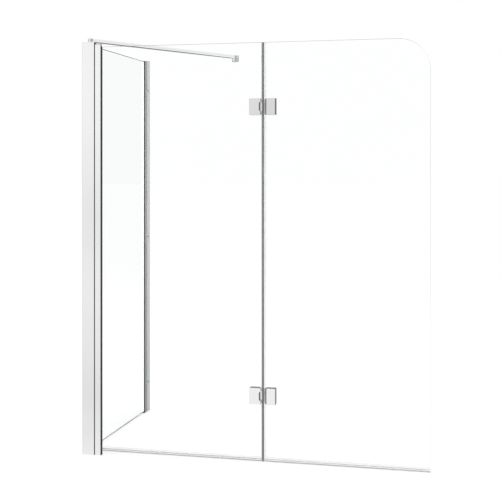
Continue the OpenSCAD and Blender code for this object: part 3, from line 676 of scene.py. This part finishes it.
def screwMesh(name, radius, length, headR, headH, socket, countersunk=True):
    # the seat is at 0 and the shank points down
    rings = [(0, -length, False), (radius * 0.7, -length, False)]
    shank = -headH if countersunk else 0
    rings += threadRings(radius, -length + screwLook["point"], shank - screwLook["plain"])
    rings.append((radius, shank, False))
    if countersunk:
        rings += [(headR, -0.15, False), (headR - 0.15, 0, False)]
    else:
        edge = screwLook["headEdge"]
        rings += [(headR, 0, False), (headR, headH - 2 * edge, False), (headR - 0.15, headH - edge, False),
                  (headR - edge, headH - 0.1, False), (headR - 2 * edge, headH, False)]
    rings += socketRings(socket, 0 if countersunk else headH, headH * screwLook["socketDepth"])
    return revolved(name, [(r * mm, h * mm, six) for r, h, six in rings], screwLook["sides"])


def putScrews(node, name, mesh, places, lean, seed):
    spots = bpy.data.meshes.new(name)
    spots.from_pydata([[c * mm for c in place] for place in places], [], [])
    pattern = linked(name + "Pattern", mesh)
    values = {"Screw": pattern, "Lean": [math.radians(a) for a in lean], "Seed": seed,
              "Finish": finishes["steel"]}
    made = grow(linked(name, spots), screwTree, values)
    bpy.data.objects.remove(pattern)
    finishPiece(made, node, easing["smoothWithin"])


def makeScrews():
    look = screwLook["adjust"]
    adjust = screwMesh("adjustScrew", **look, countersunk=False)
    for node, name, lean, seed in (("front_adjust_screws", "frontAdjustScrews", (-90, 0, 0), 3),
                                   ("side_adjust_screws", "sideAdjustScrews", (0, 90, 0), 5)):
        low, high = boxOf(node)
        middle = [(a + b) / 2 for a, b in zip(low, high)]
        across = 1 if "front" in node else 0
        middle[across] = high[across] - look["headH"]
        levels = (low[2] + look["headR"], middle[2], high[2] - look["headR"])
        places = [(middle[0], middle[1], z) for z in levels]
        putScrews(node, name, adjust, places, lean, seed)
    clamp = screwMesh("clampScrew", length=hinge["depth"], headR=hinge["headR"], **screwLook["clamp"])
    for side, name, seed in (("fixed", "fixedHingeScrews", 7), ("folding", "foldingHingeScrews", 11)):
        places = [(x, hinge["seat"], z) for x, z, radius in clampHoles(side)]
        putScrews(side + "_hinge_screws", name, clamp, places, (-90, 0, 0), seed)
    low, high = boxOf("post_cap_screws")
    look = screwLook["cap"]
    cap = screwMesh("capScrew", length=high[2] - low[2], **look)
    places = [(low[0] + look["headR"], 0, high[2]), (0, high[1] - look["headR"], high[2])]
    putScrews("post_cap_screws", "postCapScrews", cap, places, (0, 0, 0), 13)
    print("screws placed")


barLine = {"from": (13.6, 13.6), "to": (362.0, 683.0), "z": 1407.5, "radius": 7.0, "wall": 1.0,
           "neck": 12.0, "ease": 0.4, "sides": 64}


def makeBar():
    start = Vector((*barLine["from"], barLine["z"])) * mm
    end = Vector((*barLine["to"], barLine["z"])) * mm
    way = (end - start).normalized()
    length = (end - start).length - 2 * barLine["neck"] * mm
    r, w, ease = barLine["radius"] * mm, barLine["wall"] * mm, barLine["ease"] * mm
    rings = [(r - w, 0, False), (r - ease, 0, False), (r, ease, False), (r, length - ease, False),
             (r - ease, length, False), (r - w, length, False), (r - w, 0, False)]
    mesh = revolved("barTube", rings, barLine["sides"])
    work = bmesh.new()
    work.from_mesh(mesh)
    bmesh.ops.remove_doubles(work, verts=work.verts, dist=1e-7)
    bmesh.ops.recalc_face_normals(work, faces=work.faces)
    work.to_mesh(mesh)
    work.free()
    turned = way.to_track_quat("Z", "Y").to_matrix().to_4x4()
    mesh.transform(Matrix.Translation(start + way * barLine["neck"] * mm) @ turned)
    made = linked("barTube", mesh)
    smooth(made.data, easing["smoothWithin"])
    dress(made, "bar_tube", finishes["barChrome"])
    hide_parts("bar_tube")
    print("stabiliser bar's tube made")


# Hard pieces that keep the CAD shape, with the width of their eased edges
easedEdges = {
    "corner_post": 0.35, "wall_profile": 0.35, "front_adjust_profile": 0.3, "side_adjust_profile": 0.3,
    "post_cap": 0.4, "wall_profile_cap": 0.4, "front_adjust_cap": 0.35, "side_adjust_cap": 0.35,
    "bar_post_barrel": 0.6, "bar_wall_barrel": 0.6, "wall_bracket": 0.4,
    "upper_fixed_outer_plate": 0.35, "lower_fixed_outer_plate": 0.35,
    "upper_folding_outer_plate": 0.35, "lower_folding_outer_plate": 0.35,
    "upper_fixed_inner_plate": 0.35, "lower_fixed_inner_plate": 0.35,
    "upper_folding_inner_plate": 0.35, "lower_folding_inner_plate": 0.35,
}


def camelName(node):
    words = node.split("_")
    return words[0] + "".join(word.capitalize() for word in words[1:]) + "Eased"


def makeMetal():
    for node, width in easedEdges.items():
        made = softened(node, width, camelName(node), finishes[finishOf[node]])
        if node.endswith("_inner_plate"):
            # only the knuckles take the finish with painted glow; the rest of each plate is chrome
            made.data.materials.append(finishes["chrome"])
            for face in made.data.polygons:
                onKnuckle = abs(face.center.x - hinge["axis"]) < hinge["knuckle"] * mm
                face.material_index = 0 if onKnuckle else 1
    print("edges eased:", len(easedEdges), "pieces")


def paintTheRest():
    left = [name for name, item in nodes.items() if not item.hide_render]
    for name in left:
        item = nodes[name]
        for k in range(len(item.material_slots)):
            item.material_slots[k].material = finishes[finishOf[name]]
    print("painted as they are:", ", ".join(sorted(left)))


makeMetal()
makeGlass()
makeSeals()
makeFoldSeal()
makeScrews()
makeBar()
paintTheRest()


# What metal mirrors. Tones go by compass share round the object (0 and 1 behind it, 0.5 in front), by height
# above the horizon, and on the floor by distance in front. Places and distances on the floor are in metres.
studio = {"round": [(0.0, 0.24), (1.0, 0.24), (0.12, 0.34), (0.25, 0.50), (0.34, 0.95), (0.40, 1.02),
                    (0.445, 1.0), (0.468, 0.73), (0.505, 0.45), (0.56, 0.80), (0.66, 0.36), (0.765, 0.36),
                    (0.785, 0.80), (0.83, 0.80), (0.88, 0.40), (0.94, 0.19)],
          "height": [(0.0, 0.973), (1.0, 1.02), (0.12, 1.0), (0.30, 1.028), (0.46, 1.078), (0.60, 1.078),
                     (0.80, 1.04)],
          "heightScale": 8.0, "overhead": 0.95, "overheadFrom": (0.20, 0.45), "fill": 0.85}
floorLook = {"size": 60.0, "level": -0.0005, "tone": 0.93, "glow": 1.12, "lift": 0.6,
             "front": [(0.0, 0.916), (1.0, 0.890), (0.05, 0.899), (0.10, 0.847), (0.15, 0.882), (0.22, 0.926),
                       (0.30, 0.917), (0.43, 0.972), (0.61, 0.972), (0.90, 0.926)], "frontScale": -0.1,
             "right": 1.12, "rightFrom": (-0.1, 0.2), "behind": 0.28, "behindFrom": (0.25, 0.45),
             "barLean": (-0.887, 0.462), "barFrom": (-0.5, -0.3), "wider": 0.64, "widerLean": 0.383,
             "widerUntil": (2.29, 2.39)}


def rayKinds(recipe):
    # what is seen directly or through the panes, and what is mirrored, also through a pane
    bounces = recipe.wire("LightPath", out="Glossy Depth")
    bounced = recipe.wire("Math", {"operation": "GREATER_THAN"}, {0: bounces, 1: 0.5})
    seen = recipe.wire("LightPath", out="Is Camera Ray")
    through = recipe.wire("LightPath", out="Is Transmission Ray") * (1.0 - bounced)
    mirror = recipe.wire("LightPath", out="Is Glossy Ray") * bounced
    return seen + through, mirror


def ramped(recipe, value, ends, start=0.0, end=1.0):
    return recipe.wire("MapRange", None, {0: value, 1: ends[0], 2: ends[1], 3: start, 4: end})


def makeWorld():
    world = bpy.data.worlds.new("studio")
    bpy.context.scene.world = world
    recipe = Recipe(world)
    way = recipe.wire("TexCoord", out="Generated")
    parts = recipe.node("SeparateXYZ", None, {"Vector": way})
    right, depth, height = (Wire(recipe, parts.outputs[axis]) for axis in "XYZ")
    compass = recipe.wire("Math", {"operation": "ARCTAN2"}, {0: right, 1: depth * -1.0})
    compass = compass * (0.5 / math.pi) + 0.5
    around = recipe.wire("ValToRGB", {"stops": studio["round"]}, {0: compass})
    raised = height * studio["heightScale"]
    around = around * recipe.wire("ValToRGB", {"stops": studio["height"]}, {0: raised})
    low, high = studio["overheadFrom"]
    rise = recipe.wire("MapRange", {"interpolation_type": "SMOOTHSTEP"}, {0: height, 1: low, 2: high})
    top = (studio["overhead"],) * 3
    room = recipe.wire("Mix", {"data_type": "RGBA"}, {0: rise, 6: around, 7: (*top, 1)}, out=2)
    plain = recipe.blend(height * 0.5 + 0.5, (studio["fill"],) * 3, top)
    seen, mirror = rayKinds(recipe)
    reflected = recipe.wire("Mix", {"data_type": "RGBA"}, {0: mirror, 6: plain, 7: room}, out=2)
    direct = recipe.wire("Mix", {"data_type": "RGBA"}, {0: seen, 6: reflected, 7: (1, 1, 1, 1)}, out=2)
    recipe.node("OutputWorld", None, {"Surface": recipe.wire("Background", None, {"Color": direct})})


def makeFloor():
    reach, level = floorLook["size"], floorLook["level"]
    mesh = bpy.data.meshes.new("floor")
    mesh.from_pydata([(-reach, -reach, level), (reach, -reach, level), (reach, reach, level),
                      (-reach, reach, level)], [], [(0, 1, 2, 3)])
    floor = linked("floor", mesh)
    recipe = newRecipe("floor")
    spot = recipe.node("SeparateXYZ", None, {"Vector": recipe.wire("TexCoord", out="Object")})
    x, y = (Wire(recipe, spot.outputs[axis]) for axis in "XY")
    near = recipe.wire("ValToRGB", {"stops": floorLook["front"]}, {0: y * floorLook["frontScale"]})
    # the dark part lies behind, from under the bar outwards
    lean = x * floorLook["barLean"][0] + y * floorLook["barLean"][1]
    wider = ramped(recipe, y + x * floorLook["widerLean"], floorLook["widerUntil"], floorLook["wider"], 0.0)
    beyond = ramped(recipe, lean + wider, floorLook["barFrom"])
    behind = ramped(recipe, y, floorLook["behindFrom"]) * beyond
    near = near * ramped(recipe, x, floorLook["rightFrom"], 1.0, floorLook["right"])
    dark, glow = (floorLook["behind"],) * 3, (floorLook["glow"],) * 3
    mirrorTone = recipe.wire("Mix", {"data_type": "RGBA"}, {0: behind, 6: near, 7: (*dark, 1)}, out=2)
    seen, mirror = rayKinds(recipe)
    glowTone = recipe.wire("Mix", {"data_type": "RGBA"}, {0: mirror, 6: (*glow, 1), 7: mirrorTone}, out=2)
    matt = recipe.wire("BsdfDiffuse", None, {"Color": (*(floorLook["tone"],) * 3, 1)})
    lit = recipe.wire("Emission", None, {"Color": glowTone})
    share = seen * floorLook["lift"] + mirror
    mixed = recipe.wire("MixShader", None, {0: share, 1: matt, 2: lit})
    recipe.node("OutputMaterial", None, {"Surface": mixed})
    mesh.materials.append(recipe.owner)


# metres and watts
lamps = {"softboxLeft": {"place": (-2.6, -3.4, 3.4), "aim": (0.4, 0.2, 0.7), "size": 2.4, "power": 50.0},
         "softboxRight": {"place": (4.2, -2.2, 2.8), "aim": (0.5, 0.2, 0.7), "size": 2.0, "power": 30.0},
         "softboxBack": {"place": (1.0, 4.0, 3.6), "aim": (0.4, 0.3, 0.8), "size": 2.4, "power": 30.0}}


def makeLamps():
    for name, look in lamps.items():
        lamp = bpy.data.lights.new(name, "AREA")
        lamp.shape = "SQUARE"
        lamp.size = look["size"]
        lamp.energy = look["power"]
        box = bpy.data.objects.new(name, lamp)
        bpy.context.scene.collection.objects.link(box)
        box.location = look["place"]
        way = Vector(look["aim"]) - Vector(look["place"])
        box.rotation_euler = way.to_track_quat("-Z", "Y").to_euler()
        box.visible_glossy = False


# a level camera a little right of the screen, with its picture shifted down
cameraLook = {"place": (1.3486, -3.539, 0.972), "way": (-0.2465, 0.9691, 0), "sensor": 36.0, "lens": 79.56,
              "shift": (0.074, -0.1638), "sees": (0.05, 200.0)}


def makeCamera():
    view = bpy.data.cameras.new("camera")
    view.sensor_width = cameraLook["sensor"]
    view.lens = cameraLook["lens"]
    view.shift_x, view.shift_y = cameraLook["shift"]
    view.clip_start, view.clip_end = cameraLook["sees"]
    camera = bpy.data.objects.new("camera", view)
    bpy.context.scene.collection.objects.link(camera)
    camera.location = cameraLook["place"]
    camera.rotation_euler = Vector(cameraLook["way"]).to_track_quat("-Z", "Y").to_euler()
    bpy.context.scene.camera = camera


makeWorld()
makeFloor()
makeLamps()
makeCamera()
bpy.context.scene.view_settings.view_transform = "Standard"
print("studio and camera set")
